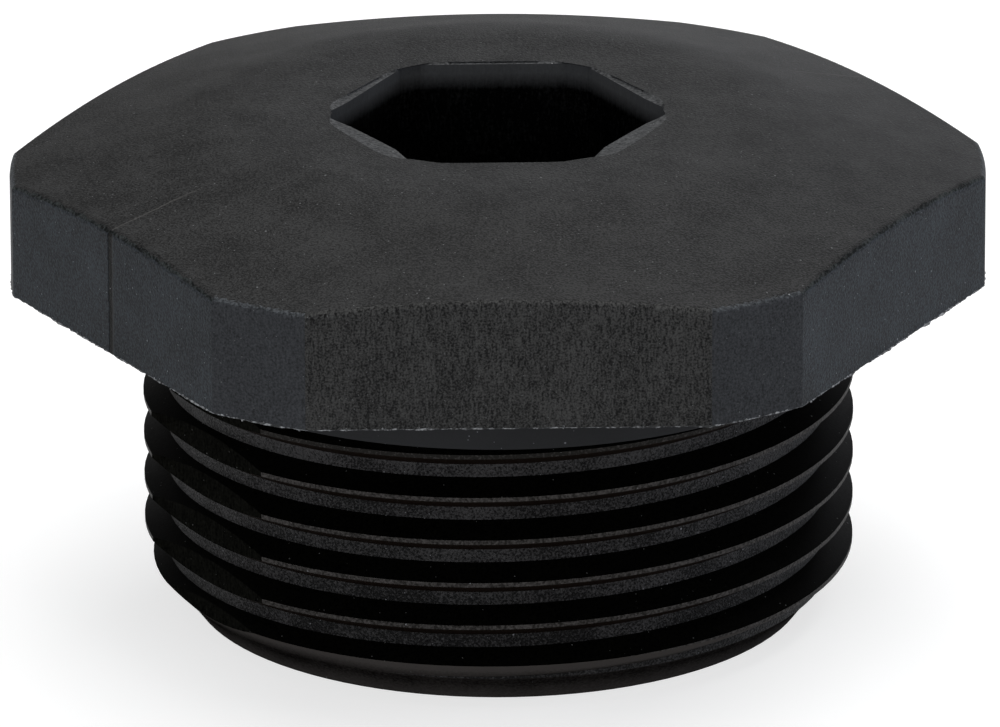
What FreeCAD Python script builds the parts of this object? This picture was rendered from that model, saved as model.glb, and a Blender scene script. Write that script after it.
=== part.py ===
import FreeCAD, Part

import math
import os
import re

import Sketcher

# Blanking plug for a cable-entry hole: one moulded piece, in millimetres.
# Z runs up the axis. The head's seat face lies at height 0, with the head above
# it and the threaded shank below. The front flat of the head faces -Y.

Vector = FreeCAD.Vector

# Driving dimensions. Everything else in this file is worked out from them.
SIZES = {
    # Shank and thread: 22.5 mm over the crests, 18 turns to the inch.
    "shank_diameter": 22.5,
    "shank_length": 10.56,
    "thread_pitch": 1.411,
    "thread_depth": 0.72,
    "crest_width": 0.14,
    "root_width": 0.42,
    # From the collar's lower edge to the middle of the first crest, at the front.
    "first_crest_drop": 0.24,
    "collar_height": 1.755,
    "end_chamfer": 1.65,
    # Two flats down the shank, where the halves of the mould part.
    "relief_depth": 0.53,
    "relief_direction": 30.0,
    # Hexagon head. Its corners are turned off. Its crown is a cone that runs into
    # a flat disc over a wide blend.
    "head_across_flats": 28.12,
    "head_corner_trim": 1.72,
    "head_height": 5.405,
    "crown_drop": 1.835,
    "crown_diameter": 17.2,
    "crown_blend": 10.0,
    "crown_rounding": 0.25,
    # Blind hexagon socket for a key, with a shallow round lead-in.
    "socket_across_flats": 9.53,
    "socket_corner_trim": 0.4,
    "socket_depth": 7.0,
    "lead_in_width": 0.16,
    "lead_in_slope": 12.0,
    # How far a cutting profile stands clear of the material that it removes.
    "cut_margin": 0.08,
}

# Lengths and counts that follow from the driving dimensions.
FOLLOWING = {
    # Across the turned corners of the two hexagons.
    "head_across_corners": "=head_across_flats / cos(30) - head_corner_trim",
    "socket_across_corners": "=socket_across_flats / cos(30) - socket_corner_trim",
    "lead_in_diameter": "=socket_across_corners + 2 * lead_in_width",
    "head_rim_height": "=head_height - crown_drop",
    "relief_spacing": "=shank_diameter - 2 * relief_depth",
    # Depth below the seat of the groove under the first crest, at the +X side.
    "groove_drop": "=collar_height + first_crest_drop + thread_pitch / 4",
    # Whole turns from there down to a start that is clear of the end face.
    "turns_below": "=ceil((shank_length + thread_pitch - groove_drop) / thread_pitch)",
    # Whole turns from there up to a run-out above the collar's lower edge.
    "turns_above": "=ceil((groove_drop - collar_height) / thread_pitch) + 1",
    # How far each flank of the thread leans out for each millimetre of depth.
    "flank_lean": "=(thread_pitch - crest_width - root_width) / (2 * thread_depth)",
}


def make_sheet(document):
    """Write the sizes and the formulas that follow from them to the sheet."""
    sheet = document.addObject("Spreadsheet::Sheet", "Sizes")
    cells = {alias: str(value) for alias, value in SIZES.items()}
    cells.update(FOLLOWING)
    for row, (alias, content) in enumerate(cells.items(), start=1):
        sheet.set(f"A{row}", alias)
        sheet.set(f"B{row}", content)
        sheet.setAlias(f"B{row}", alias)
    document.recompute()
    return sheet


def sized(formula):
    """A formula in the sheet's words, as an object outside the sheet reads it."""
    def name_sheet(found):
        word = found.group()
        return f"Sizes.{word}" if word in SIZES or word in FOLLOWING else word
    return re.sub("[a-z_]+", name_sheet, formula)


def value(item, formula):
    """What a formula in the sheet's words comes to, in millimetres or degrees."""
    return float(item.evalExpression(sized(formula)))


def new_sketch(body, name, role):
    """An empty sketch on one of the body's own origin planes."""
    sketch = body.newObject("Sketcher::SketchObject", name)
    planes = [item for item in body.Origin.OriginFeatures if item.Role == role]
    sketch.AttachmentSupport = (planes[0], [""])
    sketch.MapMode = "FlatFace"
    return sketch


def tie_point(sketch, line, across, up):
    """Hold the start of a line at a place given by two formulas."""
    point = sketch.Geometry[line].StartPoint
    for kind, reach, formula in (("DistanceX", point.x, across), ("DistanceY", point.y, up)):
        number = sketch.addConstraint(Sketcher.Constraint(kind, -1, 1, line, 1, reach))
        sketch.setExpression(f"Constraints[{number}]", sized(formula))


def add_outline(sketch, corners):
    """Add a closed loop of straight lines whose corners are pairs of formulas."""
    points = []
    for across, up in corners:
        points.append(Vector(value(sketch, across), value(sketch, up), 0))
    first = sketch.GeometryCount
    for index, point in enumerate(points):
        following = points[(index + 1) % len(points)]
        sketch.addGeometry(Part.LineSegment(point, following), False)
    for index, corner in enumerate(corners):
        line = first + index
        after = first + (index + 1) % len(corners)
        sketch.addConstraint(Sketcher.Constraint("Coincident", line, 2, after, 1))
        tie_point(sketch, line, *corner)


def add_turned_hexagon(sketch, across_flats, across_corners):
    """Add a hexagon whose corners are turned off round, with a flat facing -Y."""
    apothem = value(sketch, across_flats) / 2
    radius = value(sketch, across_corners) / 2
    half_flat = math.acos(apothem / radius)
    centre = Vector(0, 0, 0)
    for side in range(6):
        middle = math.radians(60 * side - 90)
        ends = []
        for angle in (middle - half_flat, middle + half_flat):
            ends.append(Vector(radius * math.cos(angle), radius * math.sin(angle), 0))
        sketch.addGeometry(Part.LineSegment(ends[0], ends[1]), False)
        circle = Part.Circle(centre, Vector(0, 0, 1), radius)
        corner_start = middle + half_flat
        corner_end = middle + math.radians(60) - half_flat
        sketch.addGeometry(Part.ArcOfCircle(circle, corner_start, corner_end), False)
    for side in range(6):
        flat = 2 * side
        corner = flat + 1
        next_flat = (flat + 2) % 12
        sketch.addConstraint(Sketcher.Constraint("Coincident", corner, 3, -1, 1))
        sketch.addConstraint(Sketcher.Constraint("Coincident", flat, 2, corner, 1))
        sketch.addConstraint(Sketcher.Constraint("Coincident", corner, 2, next_flat, 1))
        if side == 0:
            sketch.addConstraint(Sketcher.Constraint("Horizontal", flat))
            spread = sketch.addConstraint(Sketcher.Constraint("Distance", -1, 1, flat, apothem))
            size = sketch.addConstraint(Sketcher.Constraint("Radius", corner, radius))
            sketch.setExpression(f"Constraints[{spread}]", sized(f"{across_flats} / 2"))
            sketch.setExpression(f"Constraints[{size}]", sized(f"{across_corners} / 2"))
        else:
            lean = math.radians(60 * side if side < 4 else 60 * side - 360)
            sketch.addConstraint(Sketcher.Constraint("Angle", flat, lean))
            sketch.addConstraint(Sketcher.Constraint("Equal", flat, 0))
            sketch.addConstraint(Sketcher.Constraint("Equal", corner, 1))


def feature(body, kind, name, sketch, **formulas):
    """Add a feature made from a sketch, with its sizes bound to the sheet."""
    made = body.newObject(kind, name)
    made.Profile = sketch
    for size, formula in formulas.items():
        made.setExpression(size, sized(formula))
    return made


def turned(body, kind, name, sketch):
    """Add a feature that turns a sketch once round the axis of the plug."""
    made = feature(body, kind, name, sketch)
    made.ReferenceAxis = (sketch, ["V_Axis"])
    made.Angle = 360
    return made


def shank_section(body, name, drop):
    """The round section of the shank with a flat on each side, at a depth."""
    sketch = new_sketch(body, name, "XY_Plane")
    sketch.setExpression("AttachmentOffset.Base.z", sized(f"0 - {drop}"))
    sketch.setExpression("AttachmentOffset.Rotation.Angle", sized("relief_direction"))
    radius = value(sketch, "shank_diameter") / 2
    reach = value(sketch, "relief_spacing") / 2
    half_chord = math.sqrt(radius**2 - reach**2)
    edge = math.atan2(half_chord, reach)
    circle = Part.Circle(Vector(0, 0, 0), Vector(0, 0, 1), radius)
    sketch.addGeometry(Part.ArcOfCircle(circle, edge, math.pi - edge), False)
    left = [Vector(-reach, half_chord, 0), Vector(-reach, -half_chord, 0)]
    sketch.addGeometry(Part.LineSegment(*left), False)
    sketch.addGeometry(Part.ArcOfCircle(circle, math.pi + edge, 2 * math.pi - edge), False)
    right = [Vector(reach, -half_chord, 0), Vector(reach, half_chord, 0)]
    sketch.addGeometry(Part.LineSegment(*right), False)
    for line, end, following in ((0, 2, 1), (1, 2, 2), (2, 2, 3), (3, 2, 0)):
        sketch.addConstraint(Sketcher.Constraint("Coincident", line, end, following, 1))
    for arc in (0, 2):
        sketch.addConstraint(Sketcher.Constraint("Coincident", arc, 3, -1, 1))
        size = sketch.addConstraint(Sketcher.Constraint("Radius", arc, radius))
        sketch.setExpression(f"Constraints[{size}]", sized("shank_diameter / 2"))
    for flat in (1, 3):
        sketch.addConstraint(Sketcher.Constraint("Vertical", flat))
        spread = sketch.addConstraint(Sketcher.Constraint("Distance", -1, 1, flat, reach))
        sketch.setExpression(f"Constraints[{spread}]", sized("relief_spacing / 2"))
    return sketch


def add_shank(body):
    """The shank below the collar, with its two relief flats."""
    sketch = shank_section(body, "ShankSection", "collar_height")
    shank = feature(body, "PartDesign::Pad", "Shank", sketch,
                    Length="shank_length - collar_height")
    shank.Reversed = True
    return shank


def cut_end_chamfer(body):
    """Turn the chamfer round the end of the shank."""
    sketch = new_sketch(body, "EndOutline", "XZ_Plane")
    outside = "shank_diameter / 2 + cut_margin"
    below = "0 - shank_length - cut_margin"
    add_outline(sketch, [
        ("shank_diameter / 2", "end_chamfer - shank_length"),
        ("shank_diameter / 2 - end_chamfer - cut_margin", below),
        (outside, below),
        (outside, "end_chamfer - shank_length"),
    ])
    return turned(body, "PartDesign::Groove", "EndChamfer", sketch)


def cut_thread(body):
    """Cut the right-hand groove, from below the end to above the shank's top."""
    sketch = new_sketch(body, "GrooveOutline", "XZ_Plane")
    middle = "0 - groove_drop - turns_below * thread_pitch"
    inner = "shank_diameter / 2 - thread_depth"
    outer = "shank_diameter / 2 + cut_margin"
    mouth = "( root_width / 2 + flank_lean * ( thread_depth + cut_margin ) )"
    add_outline(sketch, [
        (inner, f"{middle} - root_width / 2"),
        (outer, f"{middle} - {mouth}"),
        (outer, f"{middle} + {mouth}"),
        (inner, f"{middle} + root_width / 2"),
    ])
    groove = body.newObject("PartDesign::SubtractiveHelix", "ThreadGroove")
    groove.Profile = sketch
    groove.ReferenceAxis = (sketch, ["V_Axis"])
    groove.Mode = "pitch-turns-angle"
    groove.LeftHanded = False
    groove.setExpression("Pitch", sized("thread_pitch"))
    groove.setExpression("Turns", sized("turns_below + turns_above"))
    return groove


def add_collar(body):
    """Set the plain collar on the shank. It covers the top of the groove."""
    sketch = shank_section(body, "CollarSection", "0")
    collar = feature(body, "PartDesign::Pad", "Collar", sketch, Length="collar_height")
    collar.Reversed = True
    return collar


def add_head(body):
    """The hexagon head with turned corners, still flat on top."""
    sketch = new_sketch(body, "HeadOutline", "XY_Plane")
    add_turned_hexagon(sketch, "head_across_flats", "head_across_corners")
    return feature(body, "PartDesign::Pad", "Head", sketch, Length="head_height")


def cut_crown(body):
    """Turn the cone round the flat disc on top of the head."""
    sketch = new_sketch(body, "CrownOutline", "XZ_Plane")
    rim = "head_across_corners / 2"
    outside = f"{rim} + cut_margin"
    above = "head_height + cut_margin"
    add_outline(sketch, [
        ("crown_diameter / 2", "head_height"),
        (rim, "head_rim_height"),
        (outside, "head_rim_height"),
        (outside, above),
        ("crown_diameter / 2", above),
    ])
    return turned(body, "PartDesign::Groove", "Crown", sketch)


def cut_socket(body):
    """Cut the blind hexagon socket down from the top of the head."""
    sketch = new_sketch(body, "SocketOutline", "XY_Plane")
    sketch.setExpression("AttachmentOffset.Base.z", sized("head_height"))
    add_turned_hexagon(sketch, "socket_across_flats", "socket_across_corners")
    return feature(body, "PartDesign::Pocket", "Socket", sketch, Length="socket_depth")


def cut_lead_in(body):
    """Turn the shallow cone that leads a key into the socket."""
    sketch = new_sketch(body, "LeadInOutline", "XZ_Plane")
    add_outline(sketch, [
        ("0", "head_height - lead_in_diameter / 2 * tan(lead_in_slope)"),
        ("lead_in_diameter / 2", "head_height"),
        ("0", "head_height"),
    ])
    return turned(body, "PartDesign::Groove", "LeadIn", sketch)


def crown_edges(base):
    """Names of the edges where the crown's cone meets the sides of the head."""
    inside = value(base, "crown_diameter") / 2 + value(base, "cut_margin")
    rim_height = value(base, "head_rim_height")
    names = []
    for number, edge in enumerate(base.Shape.Edges, start=1):
        middle = edge.CenterOfMass
        is_outside = math.hypot(middle.x, middle.y) > inside
        is_high = edge.BoundBox.ZMin > rim_height - 0.01
        if is_outside and is_high:
            names.append(f"Edge{number}")
    return names


def disc_edge(base):
    """Name of the round edge between the crown's cone and its flat disc."""
    radius = value(base, "crown_diameter") / 2
    for number, edge in enumerate(base.Shape.Edges, start=1):
        is_round = isinstance(edge.Curve, Part.Circle)
        if is_round and abs(edge.Curve.Radius - radius) < 0.001:
            return f"Edge{number}"
    raise RuntimeError("the crown has no round edge")


def blend_crown(body):
    """Run the crown's cone into its disc over a wide blend."""
    base = body.Tip
    name = disc_edge(base)
    fillet = body.newObject("PartDesign::Fillet", "CrownBlend")
    fillet.Base = (base, [name])
    fillet.setExpression("Radius", sized("crown_blend"))
    return fillet


def round_crown(body):
    """Round the edge between the crown's cone and the sides of the head."""
    base = body.Tip
    edges = crown_edges(base)
    fillet = body.newObject("PartDesign::Fillet", "CrownRounding")
    fillet.Base = (base, edges)
    fillet.setExpression("Radius", sized("crown_rounding"))
    return fillet


def make_plug(document):
    """Build the plug as one body, feature by feature."""
    body = document.addObject("PartDesign::Body", "PlugBody")
    body.Label = "plug_body"
    steps = [
        (add_shank, 1), (cut_end_chamfer, -1), (cut_thread, -1), (add_collar, 1),
        (add_head, 1), (cut_crown, -1), (blend_crown, -1), (round_crown, -1),
        (cut_socket, -1), (cut_lead_in, -1),
    ]
    volume = 0.0
    for step, sense in steps:
        made = step(body)
        document.recompute()
        change = made.Shape.Volume - volume
        if change * sense <= 0:
            raise RuntimeError(f"{made.Name} changed the volume by {change:.3f} mm3")
        print(f"{made.Name:14s} {change:+10.2f} mm3")
        volume = made.Shape.Volume
    body.Placement = FreeCAD.Placement(Vector(0, 0, 0), FreeCAD.Rotation())
    return body


def check(document, bodies):
    """Stop if any object failed or any shape is empty or not valid."""
    for item in document.Objects:
        if "Invalid" in item.State or "Error" in item.State:
            raise RuntimeError(f"{item.Name}: {item.State}")
    for body in bodies:
        if body.Shape.isNull() or not body.Shape.isValid():
            raise RuntimeError(f"{body.Label} has no valid shape")


def main():
    document = FreeCAD.newDocument("BlankingPlug")
    make_sheet(document)
    bodies = [make_plug(document)]
    document.recompute()
    check(document, bodies)
    os.makedirs("parts", exist_ok=True)
    for body in bodies:
        body.Shape.exportStep(f"parts/{body.Label}.step")
        box = body.Shape.BoundBox
        print(body.Label, f"{box.XLength:.2f} x {box.YLength:.2f} x {box.ZLength:.2f} mm",
              f"{len(body.Shape.Solids)} solid, {len(body.Shape.Faces)} faces")


main()
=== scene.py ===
# %% [markdown]
# # A moulded blanking plug
#
# This lesson dresses one small part: the plug that closes an unused cable hole
# in a box. The solid comes from a CAD file and arrives here as a fixed frame.
# Blender adds what a mould leaves on real plastic: grain, flash, dust and gloss.
# Some tones also carry painted light and shade.
#
# Everything is in metres, as the frame is. Sizes below are written in
# millimetres and multiplied by MM where they are used.

import math
import random

import bmesh
import bpy
from mathutils import Matrix, Vector, noise


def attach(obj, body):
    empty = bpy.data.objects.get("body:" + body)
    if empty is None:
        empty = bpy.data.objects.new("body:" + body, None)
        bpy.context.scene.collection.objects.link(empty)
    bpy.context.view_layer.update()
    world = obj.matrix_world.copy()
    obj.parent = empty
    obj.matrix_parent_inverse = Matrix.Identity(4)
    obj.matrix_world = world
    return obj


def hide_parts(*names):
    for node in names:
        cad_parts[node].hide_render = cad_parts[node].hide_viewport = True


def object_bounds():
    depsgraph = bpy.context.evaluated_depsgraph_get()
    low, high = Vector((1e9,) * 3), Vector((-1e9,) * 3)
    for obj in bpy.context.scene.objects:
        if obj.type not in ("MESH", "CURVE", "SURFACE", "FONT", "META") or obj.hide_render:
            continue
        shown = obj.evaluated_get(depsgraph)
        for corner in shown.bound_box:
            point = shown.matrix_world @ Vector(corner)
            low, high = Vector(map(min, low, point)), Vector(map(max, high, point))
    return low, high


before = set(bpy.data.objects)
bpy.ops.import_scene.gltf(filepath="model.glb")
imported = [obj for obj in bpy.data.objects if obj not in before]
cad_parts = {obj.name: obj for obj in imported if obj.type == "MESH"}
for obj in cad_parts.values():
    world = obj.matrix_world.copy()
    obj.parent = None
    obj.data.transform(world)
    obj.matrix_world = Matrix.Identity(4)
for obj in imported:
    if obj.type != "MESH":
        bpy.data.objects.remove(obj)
cad_low, cad_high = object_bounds()
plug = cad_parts["plug_body"]
MM = 0.001
print("frame box in mm:", [round(side / MM, 2) for side in cad_high - cad_low])

# %% [markdown]
# The seat face of the head lies at height 0, so the frame's own box gives the
# two heights that everything else hangs on: the top of the head and the end of
# the thread. The other sizes are the ones a maker would read off the part.

# %% Sizes of the plug in millimetres
HEAD_TOP = cad_high.z / MM
THREAD_END = cad_low.z / MM
COLLAR_HEIGHT = 1.755
SHANK_RADIUS = 11.25
ROOT_RADIUS = 10.53
END_CHAMFER = 1.65
RELIEF_PLANE = 10.72
HEAD_APOTHEM = 14.06
CORNER_RADIUS = 15.375
CORNER_STEPS = 30
SOCKET_REACH = 5.7
PARTING_TURN = math.radians(30)
print("head top", round(HEAD_TOP, 3), "mm, thread end", round(THREAD_END, 3), "mm")

# %% [markdown]
# ## Helpers for materials
#
# A colour picked on a screen is an sRGB hex value. The shader works in linear
# light, so one function converts it. A second small function adds a node, sets
# its inputs and links it, which keeps each material short enough to read.

# %% Colour and node helpers


def linear(code):
    """An sRGB hex colour as the linear RGBA that the shader wants."""
    channels = []
    for start in (1, 3, 5):
        value = int(code[start:start + 2], 16) / 255
        channels.append(value / 12.92 if value <= 0.04045 else ((value + 0.055) / 1.055) ** 2.4)
    return (*channels, 1.0)


def add(tree, kind, settings=None, inputs=None):
    """Add a node; each input is a value, or the output of another node to link."""
    node = tree.nodes.new(kind)
    for name, value in (settings or {}).items():
        setattr(node, name, value)
    for name, value in (inputs or {}).items():
        if isinstance(value, bpy.types.NodeSocket):
            tree.links.new(value, node.inputs[name])
        else:
            node.inputs[name].default_value = value
    return node


def maths(tree, operation, first, second=0.5, third=0.5, clamp=False):
    """One step of arithmetic on numbers or sockets."""
    node = add(tree, "ShaderNodeMath", {"operation": operation, "use_clamp": clamp},
               {0: first, 1: second, 2: third})
    return node.outputs[0]


def mix(tree, factor, first, second):
    """Blend two colours by a factor from 0 to 1."""
    node = add(tree, "ShaderNodeMix", {"data_type": "RGBA"})
    for name, value in (("Factor_Float", factor), ("A_Color", first), ("B_Color", second)):
        socket = next(item for item in node.inputs if item.identifier == name)
        if isinstance(value, bpy.types.NodeSocket):
            tree.links.new(value, socket)
        else:
            socket.default_value = value
    return next(item for item in node.outputs if item.identifier == "Result_Color")


def fade(tree, value, low, high, at_low, at_high):
    """Map a value from one range to another, held flat outside it."""
    node = add(tree, "ShaderNodeMapRange", {"clamp": True},
               {"Value": value, "From Min": low, "From Max": high,
                "To Min": at_low, "To Max": at_high})
    return node.outputs["Result"]


# %% [markdown]
# ## One plastic, many finishes
#
# The whole plug is one shot of black glass-filled polyamide, but the steel that
# formed it was not finished alike everywhere. The head's sides carry coarse
# spark-eroded grain, the top is finer, the thread roots are granular and the
# thread flanks were polished smooth so that the part could be screwed out of
# the mould. One function makes all of these finishes from the same recipe, and
# only its numbers change. Several finishes also carry painted highlights and
# painted shade in their tones, named where they are made.
#
# The recipe works in millimetres: Object coordinates times 1000. Grain is a
# noise with a given number of grains per millimetre. Draw marks are the same
# noise squashed along the pull direction. Cloudiness is a slow noise. All three
# add to one number that picks a tone between a dark and a light black, and the
# grain and draw marks also raise the surface a few thousandths of a millimetre.

# %% Millimetre coordinates, dust and painted glints


def in_millimetres(tree, stretch=(1.0, 1.0, 1.0)):
    """Object coordinates in millimetres, squashed where a pattern is drawn out."""
    place = add(tree, "ShaderNodeTexCoord").outputs["Object"]
    node = add(tree, "ShaderNodeVectorMath", {"operation": "MULTIPLY"},
               {0: place, 1: tuple(1000.0 * factor for factor in stretch)})
    return node.outputs[0]


def grains(tree, place, per_millimetre, detail):
    """Noise that runs from about -1 to 1."""
    node = add(tree, "ShaderNodeTexNoise", None,
               {"Vector": place, "Scale": per_millimetre, "Detail": detail, "Roughness": 0.6})
    return fade(tree, node.outputs["Fac"], 0.25, 0.75, -1.0, 1.0)


def dust_and_glints(tree, place, per_millimetre, radius, share):
    """Round specks: one candidate in each cell, of which a share is kept."""
    cells = add(tree, "ShaderNodeTexVoronoi", {"feature": "F1"},
                {"Vector": place, "Scale": per_millimetre, "Randomness": 1.0})
    tint = add(tree, "ShaderNodeSeparateColor", None, {"Color": cells.outputs["Color"]})
    reach = maths(tree, "MULTIPLY", tint.outputs["Green"], radius * per_millimetre)
    near = maths(tree, "LESS_THAN", cells.outputs["Distance"], reach)
    kept = maths(tree, "LESS_THAN", tint.outputs["Red"], share)
    return maths(tree, "MULTIPLY", near, kept)


# %% [markdown]
# The two mould halves met in a plane through the axis, turned 30 degrees. On
# On the head's flats they left a fine groove, painted black as the shade inside it, and on the top
# a faint pale witness line. The distance to that plane is one dot product, so the line stays
# where it is on the object from every side.

# %% The parting line


def parting_line(tree, place, half_width, inner):
    """1 on the parting plane outside an inner radius, 0 away from it."""
    across = (-math.sin(PARTING_TURN), math.cos(PARTING_TURN), 0.0)
    dot = add(tree, "ShaderNodeVectorMath", {"operation": "DOT_PRODUCT"}, {0: place, 1: across})
    wander = grains(tree, place, 1.5, 2.0)
    shifted = maths(tree, "MULTIPLY_ADD", wander, 0.045, dot.outputs["Value"])
    on_plane = fade(tree, maths(tree, "ABSOLUTE", shifted), half_width * 0.5, half_width, 1.0, 0.0)
    along = (math.cos(PARTING_TURN), math.sin(PARTING_TURN), 0.0)
    reach = add(tree, "ShaderNodeVectorMath", {"operation": "DOT_PRODUCT"}, {0: place, 1: along})
    from_axis = maths(tree, "ABSOLUTE", reach.outputs["Value"])
    far_out = fade(tree, from_axis, inner, inner + 1.5, 0.0, 1.0)
    return maths(tree, "MULTIPLY", on_plane, far_out)


# %% The recipe for every finish


def moulded(name, dark, light, roughness=0.6, level=0.2, grain=0.5, per_mm=11.0, draw=0.0,
            cloud=0.2, relief=0.004, specks=0.2, speck_colour="#8F9092", tone=0.5,
            heights=None, seam=None):
    """Moulded polyamide with its own grain, draw marks, cloudiness, dust and painted glints."""
    material = bpy.data.materials.new(name)
    material.use_nodes = True
    tree = material.node_tree
    tree.nodes.clear()
    place = in_millimetres(tree)
    fine = grains(tree, place, per_mm, 1.5)
    drawn = grains(tree, in_millimetres(tree, (1.0, 1.0, 0.25)), 12.0, 2.0)
    slow = grains(tree, place, 0.55, 3.0)

    pick = maths(tree, "MULTIPLY_ADD", fine, grain * 0.5, tone)
    pick = maths(tree, "MULTIPLY_ADD", drawn, draw * 0.5, pick)
    pick = maths(tree, "MULTIPLY_ADD", slow, cloud * 0.5, pick)
    # Tone bands by height: on the socket wall, the crests and the end chamfer they are painted
    # light and shade; on the roots they only darken the lower turns.
    if heights:
        level_z = add(tree, "ShaderNodeSeparateXYZ", None, {"Vector": place}).outputs["Z"]
        for low, high, at_low, at_high in heights:
            pick = maths(tree, "ADD", pick, fade(tree, level_z, low, high, at_low, at_high))
    pick = maths(tree, "ADD", pick, 0.0, clamp=True)
    colour = mix(tree, pick, linear(dark), linear(light))

    height = maths(tree, "MULTIPLY_ADD", fine, grain, maths(tree, "MULTIPLY", drawn, draw))
    if seam:
        line = parting_line(tree, place, seam["half_width"], seam["inner"])
        share = maths(tree, "MULTIPLY", line, seam["strength"])
        colour = mix(tree, share, colour, linear(seam["colour"]))
        height = maths(tree, "MULTIPLY_ADD", line, seam["height"], height)
    if specks:
        # The coarser specks are dust; the finer ones are painted glints.
        for per_millimetre, radius in ((1.9, 0.036), (5.0, 0.024)):
            mark = dust_and_glints(tree, place, per_millimetre, radius, specks * 0.6)
            colour = mix(tree, mark, colour, linear(speck_colour))

    gloss = fade(tree, fine, -1.0, 1.0, roughness - 0.06, roughness + 0.06)
    bump = add(tree, "ShaderNodeBump", None,
               {"Height": height, "Distance": relief * MM, "Strength": 1.0})
    shader = add(tree, "ShaderNodeBsdfPrincipled", None,
                 {"Base Color": colour, "Roughness": gloss, "Normal": bump.outputs["Normal"]})
    shader.inputs["Specular IOR Level"].default_value = level
    shader.inputs["IOR"].default_value = 1.53
    add(tree, "ShaderNodeOutputMaterial", None, {"Surface": shader.outputs["BSDF"]})
    return material


# %% [markdown]
# ## The finishes of the head
#
# The top is fine and even. The flats and corner facets are coarser, with draw
# marks straight up and down. The blue tint of the side flats and corner facets
# is painted light. The rounded rim along the side flats is darker with painted
# shade, the rim above the corner facets is lighter with a painted highlight, and
# the socket's mouth has a torn tone of its own. The socket's wall is lit only
# near its mouth, so its tone fades with depth.

# %% Head finishes
# The groove's black colour is painted shade inside the fine parting groove.
GROOVE_PAINTED_SHADE = {"half_width": 0.17, "strength": 1.0, "colour": "#000000", "height": -9.0, "inner": 0.0}
WITNESS = {"half_width": 0.05, "strength": 0.35, "colour": "#5A5856", "height": 1.0, "inner": 10.3}
FINISHES = {
    "top": moulded("head_top_fine_grain", "#060606", "#323232", level=0.14, grain=1.7, per_mm=14.0,
                   cloud=0.6, relief=0.004, specks=1.0, speck_colour="#626364", seam=WITNESS),
    "flat": moulded("head_flat_eroded_grain", "#0C0C0C", "#464645", level=0.1, grain=1.4,
                    per_mm=15.0, draw=0.9, cloud=0.35, relief=0.005, specks=1.0,
                    speck_colour="#626364", seam=GROOVE_PAINTED_SHADE),
    # The side flats' blue tint is painted light from the side lamps; their grain is the plastic's
    # own.
    "side_flat": moulded("head_side_flat_grain_painted_blue_light", "#0B0E11", "#373C41", level=0.1, grain=1.5,
                         per_mm=13.0, draw=0.3, cloud=0.5, relief=0.005, specks=1.0,
                         speck_colour="#7C7F82", seam=GROOVE_PAINTED_SHADE),
    # The corner facets' blue tint is painted light; their finer grain is the plastic's own.
    "facet": moulded("head_corner_facet_painted_blue_light", "#1F2022", "#414346", level=0.1, grain=1.0, per_mm=14.0,
                     draw=0.4, relief=0.003, specks=1.0, speck_colour="#626364"),
    # The rim's darker tone along the side flats is painted shade on the rounded edge.
    "rim": moulded("head_rim_painted_shade", "#0C0E0E", "#3A3E3E", level=0.06, grain=1.8, per_mm=9.0,
                   cloud=1.2, relief=0.003, specks=0.8, speck_colour="#5C5D5E", tone=0.4),
    # The lighter tone on the rim above the corner facets is a painted highlight.
    "corner_rim": moulded("corner_rim_painted_highlight", "#222426", "#505356", level=0.1, grain=1.4,
                          relief=0.004, specks=0.9),
    "seat": moulded("seat_face", "#191A1B", "#262728", grain=0.5, relief=0.003),
    "mouth": moulded("socket_lead_in_torn", "#161718", "#505152", level=0.14, grain=1.2, per_mm=9.0,
                     relief=0.006, specks=1.0, speck_colour="#8A8B8C", tone=0.5),
    "socket": moulded("socket_wall", "#000000", "#48494A", level=0.03, grain=0.15, draw=0.15,
                      cloud=0.1, specks=0.0, tone=0.0, heights=((4.5, 5.05, 0.0, 0.9),)),
}
print("head finishes:", len(FINISHES))

# %% [markdown]
# ## The finishes of the thread
#
# Going down one turn, the eye meets a pale crest, a brownish lower flank, a
# rough granular root and a smooth black upper flank. The crest's paleness is a
# painted highlight and the first crest under the head is darkened with painted
# shade; the dark lower flank, the black upper flank and the black relief flats
# are painted shade. The two relief flats were polished like the upper flanks.
# Roots lower down are darker, so their tone also fades with height. The end
# chamfer has painted bands of light and shade.

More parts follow.
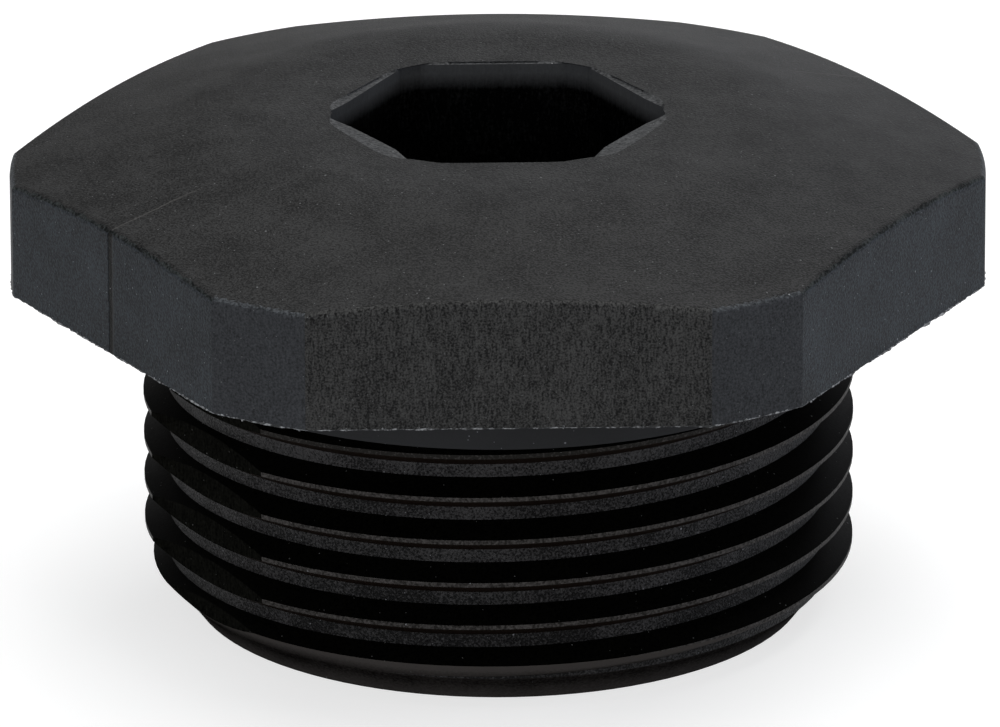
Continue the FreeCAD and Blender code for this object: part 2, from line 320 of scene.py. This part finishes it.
# %% Thread finishes
FINISHES.update({
    "collar": moulded("collar_smooth", "#101112", "#252628", level=0.15, grain=0.3, relief=0.002,
                      specks=0.9, speck_colour="#6C6E72"),
    # The crest's pale tone is a painted highlight, and its darkening just under the collar is
    # painted shade.
    "crest": moulded("thread_crest_painted_highlight_and_shade", "#12100D", "#4C4947", level=0.1, grain=1.5, per_mm=11.0,
                     relief=0.005, specks=0.8, tone=0.45, heights=((-3.3, -2.5, 0.0, -0.5),)),
    # The lower flank's dark tone is painted shade on a face that looks down.
    "lower_flank": moulded("thread_lower_flank_painted_shade", "#040201", "#150D08", level=0.04, grain=0.8,
                           specks=0.3, speck_colour="#4E4A48"),
    "root": moulded("thread_root_granular", "#050505", "#403F3F", level=0.1, grain=1.9, per_mm=14.0,
                    cloud=0.9, relief=0.008, specks=1.0, speck_colour="#78787A", tone=0.44,
                    heights=((-9.0, -3.0, -0.25, 0.08),)),
    # The upper flank is smooth, and its black tone is painted shade from the head above.
    "upper_flank": moulded("thread_upper_flank_smooth_painted_shade", "#000000", "#090907", roughness=0.5,
                           level=0.018, grain=0.6, draw=0.8, relief=0.001, specks=0.7,
                           speck_colour="#5A5A58"),
    # The relief flats are smooth, and their black tone without gloss is painted shade.
    "relief": moulded("relief_flat_smooth_painted_shade", "#050504", "#1B1B18", roughness=0.6, level=0.0,
                      grain=0.8, draw=0.8, relief=0.001, specks=0.7, speck_colour="#5A5A58"),
    # The chamfer's pale band at its top and lighter foot are painted light; its dark middle is
    # painted shade.
    "chamfer": moulded("end_chamfer_painted_light_bands", "#030201", "#56524F", level=0.0, grain=0.3,
                       relief=0.002, heights=((-9.7, -9.1, 0.0, 1.0), (-10.4, -9.9, 0.45, 0.0)),
                       tone=0.18),
    "end": moulded("end_face", "#191A1B", "#262728", grain=0.5, relief=0.003),
})
print("all finishes:", len(FINISHES))

# %% [markdown]
# ## Sort the faces by finish
#
# The CAD mesh has one material slot. A copy of it can carry all the finishes:
# every face is sorted by where it lies and which way it looks, exactly as an
# inspector would name it. The CAD node itself stays as it is, and the copy
# stands in for it. Normals here are unit vectors, so a height of 1 looks
# straight up, and angles around the axis are in degrees.

# %% Which part of the plug a face belongs to
ON_PLANE = 0.02
SOCKET_LIP = 4.0
SOCKET_DEEPEST = -COLLAR_HEIGHT - 1.0
LEVEL = 0.995
NEARLY_LEVEL = 0.9
NEARLY_UPRIGHT = 0.08
RIM_FROM, RIM_TO = 0.3, 0.7
WALL_TILT = 0.3
FLANK_TILT = 0.3
CORNER_HALF = 6.1
FLAT_HALF = 25
FACING = 10


def turned_into(angle, step, start):
    """How far an angle in degrees is from the nearest of several even directions."""
    return abs((angle - start + step / 2) % step - step / 2)


def rim_name_of(sits_at, rise):
    """Name a face of the rounded rim by its direction and how far it looks up."""
    if turned_into(sits_at, 60, 0) < CORNER_HALF:
        return "corner_rim" if rise > 0.5 else "facet"
    if turned_into(sits_at, 180, 90) < FLAT_HALF:
        return "flat"
    if rise < RIM_FROM:
        return "side_flat"
    return "rim" if rise < RIM_TO else "top"


def name_of(centre, normal):
    """Name the area of the plug that a face lies in, in millimetres."""
    radius = math.hypot(centre.x, centre.y)
    faces_to = math.degrees(math.atan2(normal.y, normal.x))
    sits_at = math.degrees(math.atan2(centre.y, centre.x))
    level = abs(normal.z)
    if radius < SOCKET_REACH and centre.z > SOCKET_DEEPEST:
        if level < WALL_TILT or centre.z < SOCKET_LIP:
            return "socket"
        return "top" if normal.z > LEVEL else "mouth"
    if centre.z > ON_PLANE:
        if normal.z > NEARLY_LEVEL:
            return "top"
        if normal.z > NEARLY_UPRIGHT:
            return rim_name_of(sits_at, normal.z)
        if turned_into(faces_to, 60, 0) < FACING:
            return "facet"
        return "flat" if turned_into(faces_to, 180, 90) < FACING else "side_flat"
    if centre.z > -ON_PLANE and level > NEARLY_LEVEL:
        return "seat"
    if centre.z < THREAD_END + ON_PLANE and level > NEARLY_LEVEL:
        return "end"
    if centre.z > -COLLAR_HEIGHT - 0.01:
        return "collar"
    reach = abs(centre.x * math.cos(PARTING_TURN) + centre.y * math.sin(PARTING_TURN))
    faces_relief = level < 0.1 and turned_into(faces_to, 180, math.degrees(PARTING_TURN)) < 2
    if faces_relief and abs(reach - RELIEF_PLANE) < 0.05:
        return "relief"
    if abs(normal.z + math.sqrt(0.5)) < 0.05 and centre.z < THREAD_END + END_CHAMFER:
        return "chamfer"
    if normal.z > FLANK_TILT:
        return "upper_flank"
    if normal.z < -FLANK_TILT:
        return "lower_flank"
    return "crest" if radius > (SHANK_RADIUS + ROOT_RADIUS) / 2 else "root"


# %% [markdown]
# Three edges of the copy are set a little closer to the photograph before it is
# dressed. The head's rim stands up to 0.17 mm higher at the front. The socket's
# lead-in is a narrow ledge that follows the hexagon and widens along the slanted
# flats. The end of the thread is chamfered less. Each is a shift of existing
# points, well inside the CAD box.

# %% Set three edges
RIM_LIFT = 0.17
RIM_LOWEST = 2.0
CROWN_EDGE = 9.0
MOUTH_LOWEST = 5.1
MOUTH_RING = 5.4
SOCKET_APOTHEM = 4.765
SOCKET_CORNER = 5.1
LEDGE_WIDTH = 0.12
LEDGE_DROP = 0.055
SIDE_BOW_OUT = 0.3
SIDE_BOW_IN = 0.22
END_RADIUS = 9.74


def socket_edge(angle):
    """The socket's own radius at an angle: a hexagon with blunt corners."""
    from_flat = angle % (math.pi / 3) - math.pi / 6
    return min(SOCKET_APOTHEM / math.cos(from_flat), SOCKET_CORNER)


def side_bow(angle):
    """How far a slanted flat of the socket is worn: most at the front, 0 at corners."""
    if abs(math.sin(angle)) > math.sin(math.pi / 3):
        return 0.0
    from_flat = angle % (math.pi / 3) - math.pi / 6
    return min(1.0, 1.5 * math.cos(3 * from_flat)) * (0.62 - 0.76 * math.sin(angle))


def eased(point):
    """The place of a point in millimetres after the three edges are set."""
    radius = math.hypot(point.x, point.y)
    if point.z > RIM_LOWEST and radius > CROWN_EDGE:
        outward = min((radius - CROWN_EDGE) / (HEAD_APOTHEM - CROWN_EDGE), 1.0)
        frontward = 0.5 - 0.5 * point.y / radius
        return Vector((point.x, point.y, point.z + RIM_LIFT * outward * frontward))
    if point.z > MOUTH_LOWEST and radius < SOCKET_REACH:
        angle = math.atan2(point.y, point.x)
        if radius > MOUTH_RING:
            reach = socket_edge(angle) + LEDGE_WIDTH + SIDE_BOW_OUT * side_bow(angle)
            ring = point.xy * (reach / radius)
            return Vector((ring.x, ring.y, point.z))
        ring = point.xy * (1 - SIDE_BOW_IN * side_bow(angle) / radius)
        return Vector((ring.x, ring.y, HEAD_TOP - LEDGE_DROP))
    if point.z < THREAD_END + 0.01 and radius > SOCKET_REACH:
        ring = point.xy * (END_RADIUS / radius)
        return Vector((ring.x, ring.y, point.z))
    return point


# %% The finished plug


def finished_plug():
    """A copy of the CAD mesh with a finish on each of its areas."""
    mesh = plug.data.copy()
    mesh.name = "finished_plug"
    mesh.materials.clear()
    names = list(FINISHES)
    for name in names:
        mesh.materials.append(FINISHES[name])
    count = dict.fromkeys(names, 0)
    for face in mesh.polygons:
        area = name_of(face.center / MM, face.normal)
        face.material_index = names.index(area)
        count[area] += 1
    moved = 0
    for vert in mesh.vertices:
        place = eased(vert.co / MM)
        moved += (place * MM - vert.co).length > 1e-6
        vert.co = place * MM
    print("points set:", moved, "of", len(mesh.vertices))
    piece = bpy.data.objects.new("finished_plug", mesh)
    bpy.context.scene.collection.objects.link(piece)
    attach(piece, "root")
    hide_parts("plug_body")
    print("faces in each area:", count)
    return piece


finished_plug()

# %% [markdown]
# ## Mould flash
#
# Molten plastic creeps a few hundredths of a millimetre into the gap between
# two steels. It leaves a ragged pale line along the head's lower edge. A bmesh
# ring of edges is extruded into a thin closed ribbon, and a smooth noise
# decides how far it sticks out at each point, so some stretches vanish inside
# the head.

# %% Flash finish and ribbon helper
FLASH = moulded("mould_flash_ragged", "#2C2D2E", "#A6A8AA", roughness=0.7, level=0.3, grain=1.8,
                per_mm=7.0, cloud=0.6, relief=0.004, specks=0.3, tone=0.35)


def add_piece(name, shape):
    """Turn a bmesh into an object that rides on the plug."""
    bmesh.ops.recalc_face_normals(shape, faces=shape.faces)
    mesh = bpy.data.meshes.new(name)
    shape.to_mesh(mesh)
    shape.free()
    mesh.materials.append(FLASH)
    piece = bpy.data.objects.new(name, mesh)
    bpy.context.scene.collection.objects.link(piece)
    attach(piece, "root")
    print(name, "has", len(mesh.polygons), "faces")
    return piece


def head_outline():
    """Points along the head's outline: straight flats and turned corners."""
    half = PARTING_TURN - math.acos(HEAD_APOTHEM / CORNER_RADIUS)
    points = []
    for corner in range(6):
        middle = math.radians(60 * corner)
        for step in range(CORNER_STEPS + 1):
            angle = middle + half * (2 * step / CORNER_STEPS - 1)
            points.append(Vector((math.cos(angle), math.sin(angle), 0)) * CORNER_RADIUS)
    return points


# %% Flash along the head's lower edge
FLAT_CUTS = 150
TUCKED_IN = 0.12
UPPER_TUCK = 0.015


def raggedness(place, per_millimetre, seed):
    """A repeatable noise from about -1 to 1 at a place on the part."""
    low = noise.noise(place * per_millimetre + Vector((seed, 0, 0)))
    high = noise.noise(place * per_millimetre * 3.7 + Vector((0, seed, 0)))
    return low * 1.4 + high * 0.9


def next_ring(shape, edges):
    """Extrude a ring of edges once and give the new ring's points and edges."""
    made = bmesh.ops.extrude_edge_only(shape, edges=edges)["geom"]
    points = [item for item in made if isinstance(item, bmesh.types.BMVert)]
    inside = set(points)
    ring_edges = [item for item in made if isinstance(item, bmesh.types.BMEdge) and
                  item.verts[0] in inside and item.verts[1] in inside]
    return points, ring_edges


def lower_edge_flash():
    """A closed three-sided ribbon that follows the head's outline at the seat."""
    shape = bmesh.new()
    ring = [shape.verts.new(corner) for corner in head_outline()]
    for index, vert in enumerate(ring):
        shape.edges.new((vert, ring[(index + 1) % len(ring)]))
    flats = [edge for edge in shape.edges if edge.calc_length() > 5]
    bmesh.ops.subdivide_edges(shape, edges=flats, cuts=FLAT_CUTS)
    edges = list(shape.edges)
    outer = list(shape.verts)
    inner, inner_edges = next_ring(shape, edges)
    upper, upper_edges = next_ring(shape, inner_edges)
    for vert in outer:
        push = max(-0.02, 0.012 + 0.055 * raggedness(vert.co, 1.3, 5.0))
        drop = 0.01 + 0.03 * abs(raggedness(vert.co, 2.1, 9.0))
        vert.co += vert.co.normalized() * push - Vector((0, 0, drop))
    for vert in inner:
        vert.co -= vert.co.normalized() * TUCKED_IN
        vert.co.z = -0.004
    for vert in upper:
        vert.co -= vert.co.normalized() * UPPER_TUCK
        vert.co.z = 0.02 + 0.03 * abs(raggedness(vert.co, 1.9, 2.0))
    bmesh.ops.bridge_loops(shape, edges=edges + upper_edges)
    bmesh.ops.scale(shape, verts=shape.verts, vec=(MM, MM, MM))
    return add_piece("lower_edge_flash", shape)


lower_edge_flash()

# %% [markdown]
# Loose crumbs of flash and dust cling along the same edge. They are tiny
# ico spheres, squashed at random with a fixed seed.

# %% Crumbs on the lower edge


def edge_crumbs(amount, seed):
    """Small squashed grains set along the head's lower edge."""
    chance = random.Random(seed)
    corners = head_outline()
    shape = bmesh.new()
    for _ in range(amount):
        index = chance.randrange(6) * (CORNER_STEPS + 1) + CORNER_STEPS
        if chance.random() < 0.2:
            index -= chance.randrange(1, CORNER_STEPS)
        place = corners[index].lerp(corners[(index + 1) % len(corners)], chance.random())
        place += place.normalized() * 0.01
        place.z = chance.uniform(-0.03, 0.05)
        size = chance.uniform(0.015, 0.045)
        grown = bmesh.ops.create_icosphere(shape, subdivisions=1, radius=size)["verts"]
        stretch = (chance.uniform(0.7, 1.4), chance.uniform(0.7, 1.4), chance.uniform(0.5, 1.0))
        bmesh.ops.scale(shape, verts=grown, vec=stretch)
        bmesh.ops.translate(shape, verts=grown, vec=place)
    bmesh.ops.scale(shape, verts=shape.verts, vec=(MM, MM, MM))
    return add_piece("edge_crumbs", shape)


edge_crumbs(150, 11)

# %% [markdown]
# ## Floor, light and camera
#
# The floor is a pale sheet under the end of the thread. Black plastic shows
# what surrounds it, so the lamps are wide and soft and the world is dim. Their
# places and sizes are in metres and their powers in watts. The
# camera sees a white floor because the sheet adds a little of its own white to
# camera and glossy rays, and it still takes the plug's shadow.

# %% Floor


def pale_floor():
    """A wide pale sheet that the plug stands on."""
    mesh = bpy.data.meshes.new("floor")
    shape = bmesh.new()
    bmesh.ops.create_grid(shape, x_segments=1, y_segments=1, size=2.0)
    bmesh.ops.translate(shape, verts=shape.verts, vec=(0, 0, THREAD_END * MM))
    shape.to_mesh(mesh)
    shape.free()
    piece = bpy.data.objects.new("floor", mesh)
    bpy.context.scene.collection.objects.link(piece)
    material = bpy.data.materials.new("pale_paper")
    material.use_nodes = True
    tree = material.node_tree
    tree.nodes.clear()
    rays = add(tree, "ShaderNodeLightPath")
    seen = maths(tree, "MAXIMUM", rays.outputs["Is Camera Ray"], rays.outputs["Is Glossy Ray"])
    seen = maths(tree, "MAXIMUM", seen, rays.outputs["Is Transmission Ray"])
    shader = add(tree, "ShaderNodeBsdfPrincipled", None,
                 {"Emission Strength": maths(tree, "MULTIPLY", seen, 0.7)})
    shader.inputs["Base Color"].default_value = linear("#B0B0B0")
    shader.inputs["Emission Color"].default_value = (1, 1, 1, 1)
    shader.inputs["Roughness"].default_value = 0.9
    add(tree, "ShaderNodeOutputMaterial", None, {"Surface": shader.outputs["BSDF"]})
    mesh.materials.append(material)
    return piece


pale_floor()

# %% Lights


def soft_box(name, place, aim, size, power, colour="#FFFFFF"):
    """A square soft lamp in metres that points at a place."""
    data = bpy.data.lights.new(name, "AREA")
    data.size = size
    data.energy = power
    data.color = linear(colour)[:3]
    lamp = bpy.data.objects.new(name, data)
    lamp.location = place
    lamp.rotation_euler = (Vector(aim) - Vector(place)).to_track_quat("-Z", "Y").to_euler()
    bpy.context.scene.collection.objects.link(lamp)
    return lamp


soft_box("overhead", (0.04, 0.06, 0.5), (0, 0, 0), 0.5, 2.6)
soft_box("key_left", (-0.21, -0.48, 0.1), (0, 0, 0), 0.25, 0.85, "#F4F7FF")
soft_box("side_right", (0.49, 0.08, 0.04), (0, 0, 0), 0.14, 0.68, "#E0EAFF")
soft_box("back_right", (0.17, 0.55, 0.2), (0, 0, 0), 0.3, 0.28, "#F4F7FF")

world = bpy.data.worlds.new("studio")
world.use_nodes = True
backdrop = world.node_tree.nodes["Background"]
backdrop.inputs["Color"].default_value = (1, 1, 1, 1)
backdrop.inputs["Strength"].default_value = 0.22
bpy.context.scene.world = world

# %% Camera
CAMERA_DISTANCE = 421.9
CAMERA_ELEVATION = math.radians(20.11)
CAMERA_TURN = math.radians(-1.3)
CAMERA_ROLL = 0.003
AIM = Vector((0.055, 0.0, -3.04))
LENS = 479.5

camera_data = bpy.data.cameras.new("camera")
camera_data.sensor_width = 36.0
camera_data.lens = LENS
camera_data.clip_start = 0.01
camera_data.clip_end = 10.0
camera = bpy.data.objects.new("camera", camera_data)
back = Vector((
    math.sin(CAMERA_TURN) * math.cos(CAMERA_ELEVATION),
    -math.cos(CAMERA_TURN) * math.cos(CAMERA_ELEVATION),
    math.sin(CAMERA_ELEVATION),
))
camera.location = (AIM + back * CAMERA_DISTANCE) * MM
turn = (-back).to_track_quat("-Z", "Y").to_matrix() @ Matrix.Rotation(-CAMERA_ROLL, 3, "Z")
camera.rotation_euler = turn.to_euler()
bpy.context.scene.collection.objects.link(camera)
bpy.context.scene.camera = camera
bpy.context.scene.view_settings.view_transform = "Standard"
